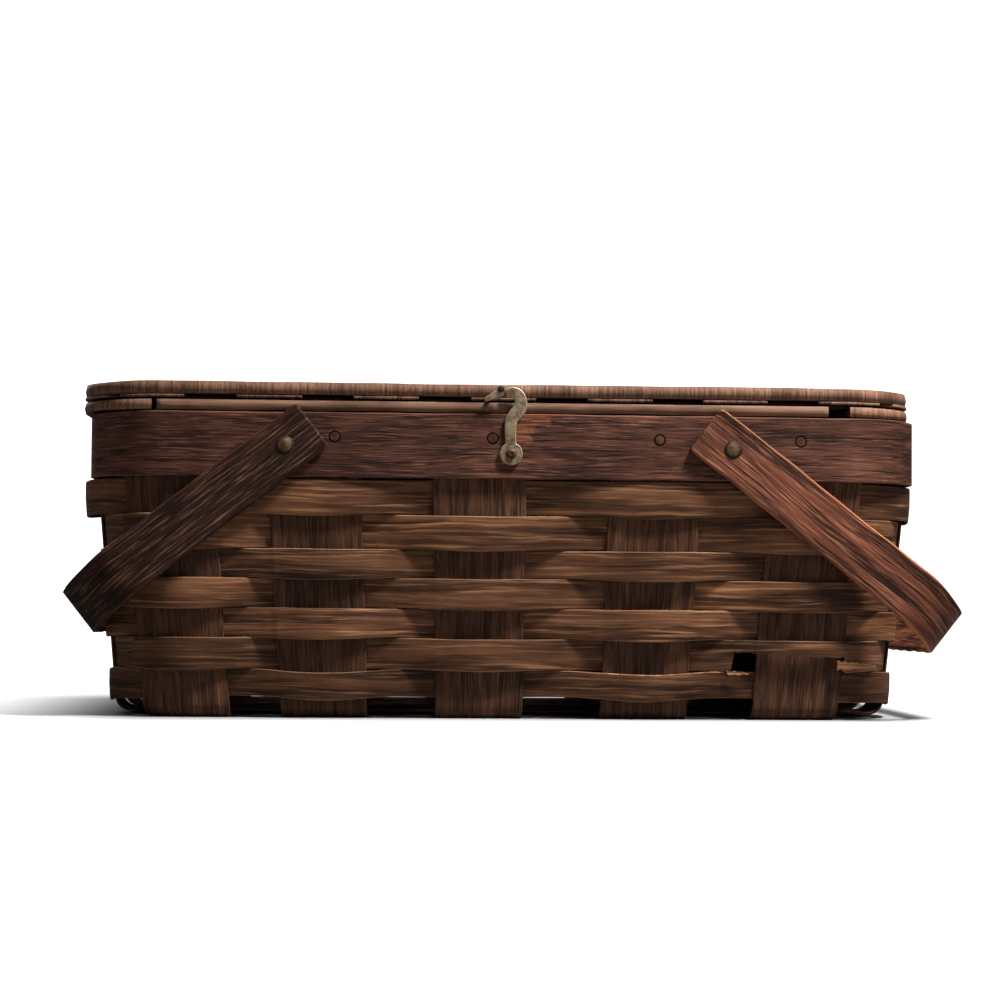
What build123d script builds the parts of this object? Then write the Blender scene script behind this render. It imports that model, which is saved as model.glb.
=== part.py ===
from build123d import *
import os
from math import ceil, cos, pi, radians, sin

# A woven splint picnic basket with a hinged lid, two bent-wood swing handles and a hook latch.
# The origin is at the middle of the floor's underside, +X to the right seen from the front,
# +Y to the back and +Z up. All sizes are in millimetres.

os.makedirs("parts", exist_ok=True)

# Woven body, measured to the middle of the upright splints (the stakes)
body_length = 484.6
body_depth = 288.9
body_corner = 50.0
wall_lean = 12.0
foot_bend = 8.0
stake_thickness = 1.5
stake_width = 54.0
stake_tuck = 3.0
# The stakes' middles from the middle of their wall, as shares of the wall's length
front_stake_shares = (-0.409, -0.233, -0.035, 0.177, 0.373)
side_stake_shares = (-0.277, 0, 0.277)

# Horizontal splints (the weavers), one closed ring a row
weaver_thickness = 1.2
weave_gap = 0.3
row_gap = 0.5
weaver_overlap = 1.5
# Heights of the first row's bottom, of the joins between rows and of the weave's top
row_joins = (12.6, 28.5, 46.8, 64.2, 81.6, 98.4, 118.4, 138.8)
corner_step = 0.175

# Rim bands that clamp the stake ends
band_height = 38.4
band_thickness = 3.5
band_gap = 0.3

# Lid
lid_overhang = 10.7
lid_corner = 55.0
lid_shift = -3.6
lid_front_inset = 1.2
lid_back_inset = 3.5
lid_seat_gap = 0.3
lid_rail_height = 6.0
lid_rail_width = 30.0
lid_end_width = 44.0
lid_rail_left_gap = 3.0
lid_rail_right_gap = 13.0
lid_top_height = 7.6
lid_top_rail_width = 32.0
lid_splint_thickness = 1.7
lid_splint_width = 38.0
lid_splint_count = 7
lid_long_splint_width = 42.5
lid_long_splint_count = 6
lid_splint_inset = 1.0
# The lid's splint pitches, as shares of its length and of its depth
lid_splint_share = 0.1373
lid_long_splint_share = 0.1462

# Swing handles
handle_pivot_x = 130.0
handle_pivot_below_band_top = 20.1
handle_width = 32.0
handle_thickness = 4.5
handle_gap = 0.5
handle_end = 20.0
handle_end_round = 4.0
handle_bend = 35.0
handle_rest_angle = 38.0
left_handle_standoff = 2.0
right_handle_standoff = 15.0

# Rivets and nails
rivet_radius = 2.5
rivet_head_radius = 5.3
rivet_head_height = 1.6
running_fit = 0.06
nail_radius = 1.3
nail_head_radius = 3.1
nail_head_height = 0.25
nail_below_band_top = 14.5
# The nails' middles from the middle of their wall, as shares of the wall's length
front_nail_shares = (-0.209, -0.02, 0.181, 0.352)
side_nail_shares = (-0.14, 0.14)

# Hook latch and its catch
latch_x = 0.9
latch_below_band_top = 23.6
latch_thickness = 1.2
latch_eye_radius = 6.7
latch_stem_width = 7.2
latch_stem_shift = -0.6
latch_head_height = 31.0
latch_head_radius = 10.1
latch_head_shift = -1.0
latch_throat_radius = 4.6
latch_throat_height = 31.6
latch_throat_shift = -2.5
latch_washer_thickness = 1.2
latch_washer_radius = 4.5
latch_face_gap = 0.1
latch_screw_radius = 1.8
latch_screw_head_radius = 3.3
latch_screw_head_height = 1.6
catch_clearance = 0.5
catch_length = 11.3
catch_reach = 6.0
catch_thickness = 1.2
catch_rise = 2.2
catch_drop = 6.6
catch_plate_thickness = 1.0
catch_plate_height = 11.0

# Hinges
hinge_x = 58.0
hinge_width = 24.0
hinge_leaf_thickness = 1.2
hinge_leaf_height = 22.0
hinge_knuckle_radius = 3.2
hinge_knuckle_gap = 0.2
hinge_axis_below_band_top = 2.7
hinge_pin_radius = 1.5
hinge_middle_knuckle = 8.0
hinge_tab_height = 12.0

# Heights and faces that follow from the sizes above
weave_top = row_joins[-1]
band_bottom = weave_top + row_gap
band_top = band_bottom + band_height
stake_top = band_top - stake_tuck
stake_half = stake_thickness / 2
outer_band_inside = stake_half + band_gap
outer_band_outside = outer_band_inside + band_thickness
inner_band_outside = -stake_half - band_gap
inner_band_inside = inner_band_outside - band_thickness
weaver_offset = stake_half + weave_gap + weaver_thickness / 2
band_face = body_depth / 2 + outer_band_outside
cut_over = 1.0
tiny = 1e-6
lid_length = body_length + lid_overhang
lid_end_start = lid_length / 2 - lid_end_width
lid_bottom = band_top + lid_seat_gap
lid_rail_top = lid_bottom + lid_rail_height
lid_long_splint_bottom = lid_rail_top + lid_splint_thickness
lid_panel_top = lid_long_splint_bottom + lid_splint_thickness
lid_front = -band_face + lid_front_inset
lid_back = band_face - lid_back_inset
lid_depth = lid_back - lid_front
lid_middle = (lid_back + lid_front) / 2


def wall_inset(z):
    """How far the leaning wall stands in at a height, from none at the top of the weave."""
    return wall_lean * min(max((weave_top - z) / weave_top, 0), 1)


def flat_half(length, z):
    """Half of the straight part of a wall at a height, up to where the corner begins."""
    return length / 2 - body_corner - wall_inset(z)


def edge_place(along, length, z):
    """Where a point of a wall lies across it, given its path length from the middle at the top.

    Straight parts shrink with the wall, and past them the point goes round the corner."""
    top_flat = flat_half(length, weave_top)
    side = 1 if along > 0 else -1
    if abs(along) <= top_flat:
        return along * flat_half(length, z) / top_flat
    turn = (abs(along) - top_flat) / body_corner
    return side * (flat_half(length, z) + body_corner * sin(turn))


def evenly(count, pitch, middle):
    """A row of evenly spaced places about a middle."""
    return [middle + (i - (count - 1) / 2) * pitch for i in range(count)]


front_stakes = [share * body_length for share in front_stake_shares]
side_stakes = [share * body_depth for share in side_stake_shares]
front_nails = [share * body_length for share in front_nail_shares]
side_nails = [share * body_depth for share in side_nail_shares]
nail_z = band_top - nail_below_band_top
handle_pivot_z = band_top - handle_pivot_below_band_top
latch_z = band_top - latch_below_band_top


def cut_fixing_holes():
    """Cut the holes of the rim's nails and the handles' rivets through what they pass."""
    with Locations(*[(x, 0, nail_z) for x in front_nails]):
        Cylinder(nail_radius, body_depth + body_corner, rotation=(90, 0, 0), mode=Mode.SUBTRACT)
    with Locations(*[(0, y, nail_z) for y in side_nails]):
        Cylinder(nail_radius, body_length + body_corner, rotation=(0, 90, 0), mode=Mode.SUBTRACT)
    with Locations((-handle_pivot_x, 0, handle_pivot_z), (handle_pivot_x, 0, handle_pivot_z)):
        Cylinder(rivet_radius, body_depth + body_corner, rotation=(90, 0, 0), mode=Mode.SUBTRACT)


def stake_layer(floor_z):
    """All the stakes as one thin tray with a rounded foot, before it is cut into strips."""
    bend_z = floor_z + foot_bend
    with BuildPart() as tray:
        for radius, outward, mode in (
            (foot_bend, stake_half, Mode.ADD),
            (foot_bend - stake_thickness, -stake_half, Mode.SUBTRACT),
        ):
            for turn in (0, 45, 90):
                grow = outward - wall_inset(bend_z) - radius * (1 - sin(radians(turn)))
                with BuildSketch(Plane.XY.offset(bend_z - radius * cos(radians(turn)))):
                    RectangleRounded(
                        body_length + 2 * grow, body_depth + 2 * grow,
                        body_corner + grow + wall_inset(bend_z),
                    )
            for z in (weave_top, stake_top + cut_over):
                with BuildSketch(Plane.XY.offset(z)):
                    RectangleRounded(
                        body_length + 2 * outward, body_depth + 2 * outward, body_corner + outward
                    )
            loft(ruled=True, mode=mode)
        with Locations((0, 0, stake_top)):
            Box(
                2 * body_length, 2 * body_depth, 2 * foot_bend,
                align=(Align.CENTER, Align.CENTER, Align.MIN), mode=Mode.SUBTRACT,
            )
    return tray.part


def make_stake(name, layer, middle, length, lengthwise):
    """One stake: a strip of the stake layer, up one wall, across the floor and up the other."""
    reach = 2 * body_length
    low, high = middle - stake_width / 2, middle + stake_width / 2
    with BuildPart() as stake:
        for z in (-cut_over, weave_top, stake_top + cut_over):
            start = edge_place(low, length, max(z, 0))
            end = edge_place(high, length, max(z, 0))
            with BuildSketch(Plane.XY.offset(z)):
                if lengthwise:
                    with Locations((0, (start + end) / 2)):
                        Rectangle(reach, end - start)
                else:
                    with Locations(((start + end) / 2, 0)):
                        Rectangle(end - start, reach)
        loft(ruled=True)
        add(layer, mode=Mode.INTERSECT)
        cut_fixing_holes()
    stake.part.label = name
    export_step(stake.part, f"parts/{name}.step")
    return stake.part


# Upright splints: the cross ones run front to back under the floor, the long ones side to side
cross_layer = stake_layer(0)
for number, middle in enumerate(front_stakes, start=1):
    make_stake(f"stake_cross_{number}", cross_layer, middle, body_length, False)
long_layer = stake_layer(stake_thickness + weave_gap)
for number, middle in enumerate(side_stakes, start=1):
    make_stake(f"stake_long_{number}", long_layer, middle, body_depth, True)


# The ring of a row is measured along its path at the top of the weave, from the front's middle
front_path = flat_half(body_length, weave_top) + body_corner * pi / 4
side_path = flat_half(body_depth, weave_top) + body_corner * pi / 4
ring_length = 4 * (front_path + side_path)
wall_names = ("front", "right", "back", "left")
wall_lengths = dict(zip(wall_names, (body_length, body_depth, body_length, body_depth)))
wall_middles = {name: i * (front_path + side_path) for i, name in enumerate(wall_names)}
ring_stakes = sorted(
    [wall_middles["front"] + x for x in front_stakes]
    + [wall_middles["right"] + y for y in side_stakes]
    + [wall_middles["back"] - x for x in front_stakes]
    + [wall_middles["left"] - y for y in side_stakes]
)
stake_hold = stake_width / 2 + weaver_overlap
ring_start = ring_stakes[0] - stake_hold


def layer_at(place, row):
    """The weaver's layer at a place: 1 outside a stake, -1 inside, passing evenly between two."""
    ends = [*ring_stakes, ring_stakes[0] + ring_length]
    index = max(i for i in range(len(ring_stakes)) if ring_stakes[i] - stake_hold <= place + tiny)
    layer = 1 if (row + index) % 2 else -1
    leave, arrive = ends[index] + stake_hold, ends[index + 1] - stake_hold
    if place <= leave:
        return layer
    return layer * (1 - 2 * (place - leave) / (arrive - leave))


def ring_places():
    """The places of a ring's corners: stake edges, corner starts and ends, and steps round them."""
    tangents = [
        wall_middles[name] + side * flat_half(wall_lengths[name], weave_top)
        for name in wall_names
        for side in (-1, 1)
    ]
    edges = [middle + side * stake_hold for middle in ring_stakes for side in (-1, 1)]
    breaks = sorted(ring_start + (p - ring_start + tiny) % ring_length for p in tangents + edges)
    places = []
    for here, after in zip(breaks, [*breaks[1:], breaks[0] + ring_length]):
        wall, along = on_wall((here + after) / 2)
        round_corner = abs(along) > flat_half(wall_lengths[wall], weave_top)
        steps = ceil((after - here) / (body_corner * corner_step)) if round_corner else 1
        places += [here + (after - here) * step / steps for step in range(steps)]
    return places


def on_wall(place):
    """The wall that a place lies on, and how far along it from its middle."""
    wall = min(wall_names, key=lambda name: abs(around(place - wall_middles[name]))
               - flat_half(wall_lengths[name], weave_top))
    return wall, around(place - wall_middles[wall])


def around(distance):
    """A distance along the ring, taken the short way round."""
    return (distance + ring_length / 2) % ring_length - ring_length / 2


def ring_point(place, z, outward):
    """A point of the ring in plan at a height, moved outward square to the wall."""
    wall, along = on_wall(place)
    length = wall_lengths[wall]
    flat = flat_half(length, z)
    top_flat = flat_half(length, weave_top)
    reach = (body_depth if length == body_length else body_length) / 2 - wall_inset(z)
    if abs(along) <= top_flat:
        across, out = along * flat / top_flat, reach + outward
    else:
        turn = (abs(along) - top_flat) / body_corner
        side = 1 if along > 0 else -1
        across = side * (flat + (body_corner + outward) * sin(turn))
        out = reach - body_corner + (body_corner + outward) * cos(turn)
    return {
        "front": (across, -out),
        "right": (out, across),
        "back": (-across, out),
        "left": (-out, -across),
    }[wall]


# Horizontal splints: each row is a ring that passes outside one stake and inside the next
places = ring_places()
for row, (row_bottom, next_bottom) in enumerate(zip(row_joins, row_joins[1:])):
    row_top = next_bottom - row_gap
    with BuildPart() as weaver:
        for half_thickness, mode in (
            (weaver_thickness / 2, Mode.ADD),
            (-weaver_thickness / 2, Mode.SUBTRACT),
        ):
            for z in (row_bottom, row_top):
                with BuildSketch(Plane.XY.offset(z)):
                    Polygon(
                        *[
                            ring_point(p, z, layer_at(p, row) * weaver_offset + half_thickness)
                            for p in places
                        ],
                        align=None,
                    )
            loft(ruled=True, mode=mode)
    weaver.part.label = f"weaver_{row + 1}"
    export_step(weaver.part, f"parts/weaver_{row + 1}.step")

# Rim bands: bent boards outside and inside the stake ends, nailed through them
for name, outside, inside in (
    ("rim_band_outer", outer_band_outside, outer_band_inside),
    ("rim_band_inner", inner_band_outside, inner_band_inside),
):
    with BuildPart() as band:
        with BuildSketch(Plane.XY.offset(band_bottom)):
            RectangleRounded(
                body_length + 2 * outside, body_depth + 2 * outside, body_corner + outside
            )
            RectangleRounded(
                body_length + 2 * inside, body_depth + 2 * inside, body_corner + inside,
                mode=Mode.SUBTRACT,
            )
        extrude(amount=band_height)
        cut_fixing_holes()
        if name == "rim_band_outer":
            with Locations((latch_x, -band_face, latch_z)):
                Cylinder(
                    latch_screw_radius, 2 * band_thickness + cut_over, rotation=(90, 0, 0),
                    mode=Mode.SUBTRACT,
                )
    band.part.label = name
    export_step(band.part, f"parts/{name}.step")


def wall_pin(place, outward_x, outward_y, length, head_radius, head_height, radius):
    """A pin driven square into a wall from its outer face, with a low round head outside it."""
    plane = Plane(origin=place, z_dir=(outward_x, outward_y, 0))
    with BuildPart() as pin:
        with BuildSketch(plane):
            Circle(head_radius)
        extrude(amount=head_height)
        with BuildSketch(plane):
            Circle(radius)
        extrude(amount=-length)
    return pin.part


# Nails through both bands and the stakes between them
nail_length = outer_band_outside - inner_band_inside
with BuildPart() as rim_nails:
    for x in front_nails:
        for side in (-1, 1):
            add(wall_pin(
                (x, side * band_face, nail_z), 0, side, nail_length,
                nail_head_radius, nail_head_height, nail_radius,
            ))
    for y in side_nails:
        for side in (-1, 1):
            add(wall_pin(
                (side * (body_length / 2 + outer_band_outside), y, nail_z), side, 0, nail_length,
                nail_head_radius, nail_head_height, nail_radius,
            ))
rim_nails.part.label = "rim_nails"
export_step(rim_nails.part, "parts/rim_nails.step")

# Handle rivets, each with a domed head outside the arm and a flat burr inside the inner band
handle_face = band_face + handle_gap + handle_thickness
with BuildPart() as handle_rivets:
    for x in (-handle_pivot_x, handle_pivot_x):
        for side in (-1, 1):
            outer_face = Plane(
                origin=(x, side * (handle_face + running_fit), handle_pivot_z),
                z_dir=(0, side, 0),
            )
            burr_face = Plane(
                origin=(x, side * (body_depth / 2 + inner_band_inside), handle_pivot_z),
                z_dir=(0, -side, 0),
            )
            shank_length = handle_face + running_fit - body_depth / 2 - inner_band_inside
            with BuildSketch(outer_face):
                Circle(rivet_radius)
            extrude(amount=-shank_length)
            with BuildSketch(outer_face):
                Circle(rivet_head_radius)
            with BuildSketch(outer_face.offset(rivet_head_height)):
                Circle(rivet_head_radius / 2)
            loft(ruled=True)
            with BuildSketch(burr_face):
                Circle(rivet_head_radius - rivet_head_height)
            extrude(amount=rivet_head_height / 2)
handle_rivets.part.label = "handle_rivets"
export_step(handle_rivets.part, "parts/handle_rivets.step")

# Swing handles: a flat splint bent into a wide U, pivoted on the front and the back of the rim.
# The reach puts the hanging cross part one stand-off away from the leaning end wall.
rest = radians(handle_rest_angle)
wall_slope = wall_lean / weave_top
weave_outside = weaver_offset + weaver_thickness / 2
handle_inside = band_face + handle_gap
for name, side, standoff in (
    ("handle_left", -1, left_handle_standoff),
    ("handle_right", 1, right_handle_standoff),
):
    foot_reach = body_length / 2 - wall_lean + weave_outside + standoff
    handle_reach = (
        foot_reach
        + wall_slope * (handle_pivot_z - handle_width / 2 * cos(rest))
        - handle_pivot_x
        + handle_width / 2 * sin(rest)
    ) / (cos(rest) + wall_slope * sin(rest))
    arm_plane = Plane(
        origin=(side * handle_pivot_x, 0, handle_pivot_z),
        x_dir=(side * cos(rest), 0, -sin(rest)),
        z_dir=(sin(rest), 0, side * cos(rest)),
    )
    with BuildPart() as handle:
        with BuildSketch(arm_plane) as inner_loop:
            with Locations(((handle_reach - body_length) / 2, 0)):
                Rectangle(handle_reach + body_length, 2 * handle_inside)
            fillet(inner_loop.vertices().sort_by(Axis.X)[-2:], handle_bend)
            offset(amount=handle_thickness)
            with Locations((-handle_end, 0)):
                Rectangle(
                    2 * body_length, 4 * body_depth, align=(Align.MAX, Align.CENTER),
                    mode=Mode.SUBTRACT,
                )
        extrude(amount=handle_width / 2, both=True)
        with BuildSketch(arm_plane) as hollow:
            with Locations(((handle_reach - body_length) / 2, 0)):
                Rectangle(handle_reach + body_length, 2 * handle_inside)
            fillet(hollow.vertices().sort_by(Axis.X)[-2:], handle_bend)
        extrude(amount=handle_width, both=True, mode=Mode.SUBTRACT)
        arm_axis = Axis((0, 0, 0), (side * cos(rest), 0, -sin(rest)))
        end_edges = handle.edges().filter_by(Axis.Y).group_by(arm_axis)[0]
        fillet(end_edges, handle_end_round)
        with Locations((side * handle_pivot_x, 0, handle_pivot_z)):
            Cylinder(
                rivet_radius + running_fit, 4 * body_depth, rotation=(90, 0, 0),
                mode=Mode.SUBTRACT,
            )
    handle.part.label = name
    export_step(handle.part, f"parts/{name}.step")

# Hook latch: a stamped plate with an eye, a stem and a curled head whose mouth opens to the left
washer_face = -band_face
hook_back = washer_face - latch_washer_thickness - latch_face_gap
hook_plane = Plane(origin=(latch_x, hook_back, latch_z), x_dir=(1, 0, 0), z_dir=(0, -1, 0))
with BuildPart() as latch_hook:
    with BuildSketch(hook_plane):
        with Locations((latch_head_shift, latch_head_height)):
            Circle(latch_head_radius)
        with Locations((latch_stem_shift - latch_stem_width / 2, latch_head_height)):
            Rectangle(
                2 * latch_head_radius, 2 * latch_head_radius + cut_over,
                align=(Align.MAX, Align.CENTER), mode=Mode.SUBTRACT,
            )
        with Locations((latch_stem_shift, 0)):
            Rectangle(
                latch_stem_width, latch_throat_height, align=(Align.CENTER, Align.MIN)
            )
        Circle(latch_eye_radius)
        with Locations((latch_throat_shift, latch_throat_height)):
            Circle(latch_throat_radius, mode=Mode.SUBTRACT)
            Rectangle(
                latch_head_radius, 2 * latch_throat_radius,
                align=(Align.MAX, Align.CENTER), mode=Mode.SUBTRACT,
            )
        Circle(latch_screw_radius + running_fit, mode=Mode.SUBTRACT)
    extrude(amount=latch_thickness)
latch_hook.part.label = "latch_hook"
export_step(latch_hook.part, "parts/latch_hook.step")

# Washer behind the hook, and the screw that the hook turns on
with BuildPart() as latch_washer:
    with BuildSketch(Plane(origin=(latch_x, washer_face, latch_z), z_dir=(0, -1, 0))):
        Circle(latch_washer_radius)
        Circle(latch_screw_radius, mode=Mode.SUBTRACT)
    extrude(amount=latch_washer_thickness)
latch_washer.part.label = "latch_washer"
export_step(latch_washer.part, "parts/latch_washer.step")

screw_face = hook_back - latch_thickness - latch_face_gap
screw_plane = Plane(origin=(latch_x, screw_face, latch_z), z_dir=(0, -1, 0))
with BuildPart() as latch_screw:
    with BuildSketch(screw_plane):
        Circle(latch_screw_radius)
    extrude(amount=-(abs(screw_face) - band_face + band_thickness))
    with BuildSketch(screw_plane):
        Circle(latch_screw_head_radius)
    with BuildSketch(screw_plane.offset(latch_screw_head_height)):
        Circle(latch_screw_head_radius / 2)
    loft(ruled=True)
latch_screw.part.label = "latch_screw"
export_step(latch_screw.part, "parts/latch_screw.step")

# Catch on the lid's front edge: a bent tongue that the hook's mouth takes from the right
catch_right = latch_x + latch_stem_shift - latch_stem_width / 2 - catch_clearance
catch_left = catch_right - catch_length
catch_high = latch_z + latch_throat_height + latch_throat_radius - catch_clearance - catch_thickness
catch_low = catch_high - catch_drop
with BuildPart() as lid_catch:
    with BuildSketch(Plane(origin=(0, lid_front, 0), x_dir=(1, 0, 0), z_dir=(0, -1, 0))):
        with Locations(((catch_left + catch_right) / 2, catch_high)):
            Rectangle(catch_length, catch_plate_height)
    extrude(amount=catch_plate_thickness)
    with BuildSketch(Plane(origin=(0, lid_front, 0), x_dir=(1, 0, 0), z_dir=(0, -1, 0))):
        with BuildLine():
            Polyline(
                (catch_left, catch_low),
                (catch_left, catch_high - catch_rise),
                (catch_right, catch_high),
                (catch_right, catch_high - catch_thickness),
                (catch_left + catch_thickness, catch_high - catch_rise - catch_thickness),
                (catch_left + catch_thickness, catch_low),
                close=True,
            )
        make_face()
    extrude(amount=catch_reach)
lid_catch.part.label = "lid_catch"
export_step(lid_catch.part, "parts/lid_catch.step")


def lid_board(name, bottom, height, box_low_x, box_high_x, box_low_y, box_high_y):
    """A flat board of the lid: the part of its outline that lies in a box."""
    with BuildPart() as board:
        with BuildSketch(Plane.XY.offset(bottom)):
            with Locations((lid_shift, lid_middle)):
                RectangleRounded(lid_length, lid_depth, lid_corner)
            with Locations(((box_low_x + box_high_x) / 2, (box_low_y + box_high_y) / 2)):
                Rectangle(box_high_x - box_low_x, box_high_y - box_low_y, mode=Mode.INTERSECT)
        extrude(amount=height)
    board.part.label = name
    export_step(board.part, f"parts/{name}.step")


# Lower frame of the lid: two end boards across it and two rails between them
rail_left = lid_shift - lid_end_start + lid_rail_left_gap
rail_right = lid_shift + lid_end_start
lid_board("lid_end_left", lid_bottom, lid_rail_height, -lid_length, lid_shift - lid_end_start,
          -lid_length, lid_length)
lid_board("lid_end_right", lid_bottom, lid_rail_height, lid_shift + lid_end_start, lid_length,
          -lid_length, lid_length)
lid_board("lid_rail_front", lid_bottom, lid_rail_height, rail_left,
          rail_right - lid_rail_right_gap, -lid_length, lid_front + lid_rail_width)
lid_board("lid_rail_back", lid_bottom, lid_rail_height, rail_left,
          rail_right - lid_rail_left_gap, lid_back - lid_rail_width, lid_length)

# Woven panel of the lid: cross splints below, long splints side by side over them
def lid_splints(name, places, length, width, bottom):
    """A layer of parallel splints, trimmed to the lid's outline."""
    with BuildPart() as splints:
        with BuildSketch(Plane.XY.offset(bottom)):
            with Locations(*places):
                Rectangle(length, width)
            with Locations((lid_shift, lid_middle)):
                RectangleRounded(
                    lid_length - 2 * lid_splint_inset, lid_depth - 2 * lid_splint_inset,
                    lid_corner - lid_splint_inset, mode=Mode.INTERSECT,
                )
        extrude(amount=lid_splint_thickness)
    splints.part.label = name
    export_step(splints.part, f"parts/{name}.step")


cross_places = evenly(lid_splint_count, lid_splint_share * lid_length, lid_shift)
lid_splints("lid_splints_cross", [(x, lid_middle) for x in cross_places],
            lid_splint_width, lid_depth, lid_rail_top)
long_places = evenly(lid_long_splint_count, lid_long_splint_share * lid_depth, lid_middle)
lid_splints("lid_splints_long", [(lid_shift, y) for y in long_places],
            lid_length, lid_long_splint_width, lid_long_splint_bottom)

# Upper frame of the lid: one flat ring that holds the panel down
with BuildPart() as lid_frame_top:
    with BuildSketch(Plane.XY.offset(lid_panel_top)):
        with Locations((lid_shift, lid_middle)):
            RectangleRounded(lid_length, lid_depth, lid_corner)
            RectangleRounded(
                lid_length - 2 * lid_top_rail_width, lid_depth - 2 * lid_top_rail_width,
                lid_corner - lid_top_rail_width, mode=Mode.SUBTRACT,
            )
    extrude(amount=lid_top_height)
lid_frame_top.part.label = "lid_frame_top"
export_step(lid_frame_top.part, "parts/lid_frame_top.step")

# Hinges: a lower leaf on the band's back, an upper leaf on the lid's back edge and a pin
hinge_y = band_face + hinge_knuckle_radius + hinge_knuckle_gap
hinge_z = band_top - hinge_axis_below_band_top
outer_knuckle = (hinge_width - hinge_middle_knuckle) / 2 - hinge_knuckle_gap


def make_hinge(side):
    """One hinge's lower leaf, upper leaf and pin."""
    middle = side * hinge_x
    with BuildPart() as lower:
        with Locations((middle, band_face, hinge_z)):
            Box(
                hinge_width, hinge_leaf_thickness, hinge_leaf_height,
                align=(Align.CENTER, Align.MIN, Align.MAX),
            )
        for end in (-1, 1):
            with Locations((middle + end * (hinge_width - outer_knuckle) / 2, hinge_y, hinge_z)):
                Cylinder(hinge_knuckle_radius, outer_knuckle, rotation=(0, 90, 0))
        with Locations((middle, hinge_y, hinge_z)):
            Box(
                hinge_middle_knuckle + 2 * hinge_knuckle_gap, 2 * hinge_knuckle_radius,
                2 * (hinge_knuckle_radius + hinge_knuckle_gap), mode=Mode.SUBTRACT,
            )
            Cylinder(
                hinge_pin_radius + running_fit, 2 * hinge_width, rotation=(0, 90, 0),
                mode=Mode.SUBTRACT,
            )
    with BuildPart() as upper:
        with Locations((middle, hinge_y, hinge_z)):
            Cylinder(hinge_knuckle_radius, hinge_middle_knuckle, rotation=(0, 90, 0))
        with Locations((middle, lid_back, lid_bottom)):
            Box(
                hinge_middle_knuckle, hinge_y - lid_back, hinge_leaf_thickness,
                align=(Align.CENTER, Align.MIN, Align.MIN),
            )
            Box(
                hinge_middle_knuckle, hinge_leaf_thickness, hinge_tab_height,
                align=(Align.CENTER, Align.MIN, Align.MIN),
            )
        with Locations((middle, hinge_y, lid_bottom)):
            Box(
                hinge_middle_knuckle, hinge_leaf_thickness, lid_bottom - hinge_z,
                align=(Align.CENTER, Align.MAX, Align.MAX),
            )
        with Locations((middle, lid_back, lid_rail_top - hinge_leaf_thickness)):
            Box(
                hinge_width, hinge_leaf_thickness, hinge_tab_height,
                align=(Align.CENTER, Align.MIN, Align.MIN),
            )
        with Locations((middle, hinge_y, hinge_z)):
            Cylinder(
                hinge_pin_radius + running_fit, 2 * hinge_width, rotation=(0, 90, 0),
                mode=Mode.SUBTRACT,
            )
    with BuildPart() as pin:
        with Locations((middle, hinge_y, hinge_z)):
            Cylinder(hinge_pin_radius, hinge_width + 2 * hinge_knuckle_gap, rotation=(0, 90, 0))
    return lower.part, upper.part, pin.part


for side_name, side in (("left", -1), ("right", 1)):
    for kind, piece in zip(("hinge_leaf_lower", "hinge_leaf_upper", "hinge_pin"), make_hinge(side)):
        piece.label = f"{kind}_{side_name}"
        export_step(piece, f"parts/{kind}_{side_name}.step")
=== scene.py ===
from math import cos, pi, radians, sin

import bpy
import numpy as np
from mathutils import Matrix, Vector


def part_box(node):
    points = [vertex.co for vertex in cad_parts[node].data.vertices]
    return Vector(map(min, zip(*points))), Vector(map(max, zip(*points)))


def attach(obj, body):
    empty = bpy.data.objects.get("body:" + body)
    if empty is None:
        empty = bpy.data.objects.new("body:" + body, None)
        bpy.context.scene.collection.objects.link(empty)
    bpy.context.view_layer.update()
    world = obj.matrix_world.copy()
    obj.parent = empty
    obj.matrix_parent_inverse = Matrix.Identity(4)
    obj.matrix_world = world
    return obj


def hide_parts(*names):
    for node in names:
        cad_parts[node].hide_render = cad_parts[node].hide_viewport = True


# An old woven splint picnic basket: dark stained wood, a nailed rim, swing handles and a hook latch.
# Lengths are in metres, +X right, +Y back, +Z up, with the origin under the middle of the floor.

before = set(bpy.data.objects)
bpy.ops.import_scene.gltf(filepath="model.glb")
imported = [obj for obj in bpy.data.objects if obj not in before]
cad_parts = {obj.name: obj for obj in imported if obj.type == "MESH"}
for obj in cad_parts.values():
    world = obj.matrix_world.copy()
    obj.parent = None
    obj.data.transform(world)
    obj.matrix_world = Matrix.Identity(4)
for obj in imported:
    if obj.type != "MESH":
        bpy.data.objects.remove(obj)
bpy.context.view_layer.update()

# Sizes shared with the CAD model
mm = 0.001
band_low, band_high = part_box("rim_band_outer")
STAKE_T, WEAVER_T, BAND_T, SPLINT_T = 1.5 * mm, 1.2 * mm, 3.5 * mm, 1.7 * mm
LAYER_GAP = 0.3 * mm
BAND_OUT = STAKE_T / 2 + LAYER_GAP + BAND_T
BODY_L = band_high.x - band_low.x - 2 * BAND_OUT
BODY_D = band_high.y - band_low.y - 2 * BAND_OUT
FRONT = -BODY_D / 2 - BAND_OUT
CORNER, LEAN, FOOT = 50 * mm, 12 * mm, 8 * mm
WEAVE_TOP, STAKE_TOP = 138.8 * mm, 174.7 * mm
BAND_LOW, BAND_TOP = band_low.z, band_high.z
STAKE_W = 54 * mm
ROW_JOINS = np.array([12.6, 28.5, 46.8, 64.2, 81.6, 98.4, 118.4, 138.8]) * mm
WEAVER_OFF = 1.65 * mm
HOLD = STAKE_W / 2 + 1.5 * mm
FRONT_STAKES = np.array([-0.409, -0.233, -0.035, 0.177, 0.373]) * BODY_L
SIDE_STAKES = np.array([-0.277, 0, 0.277]) * BODY_D
NAIL_Z = BAND_TOP - 14.5 * mm
FRONT_NAILS = np.array([-0.209, -0.02, 0.181, 0.352]) * BODY_L
SIDE_NAILS = np.array([-0.14, 0.14]) * BODY_D

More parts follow.
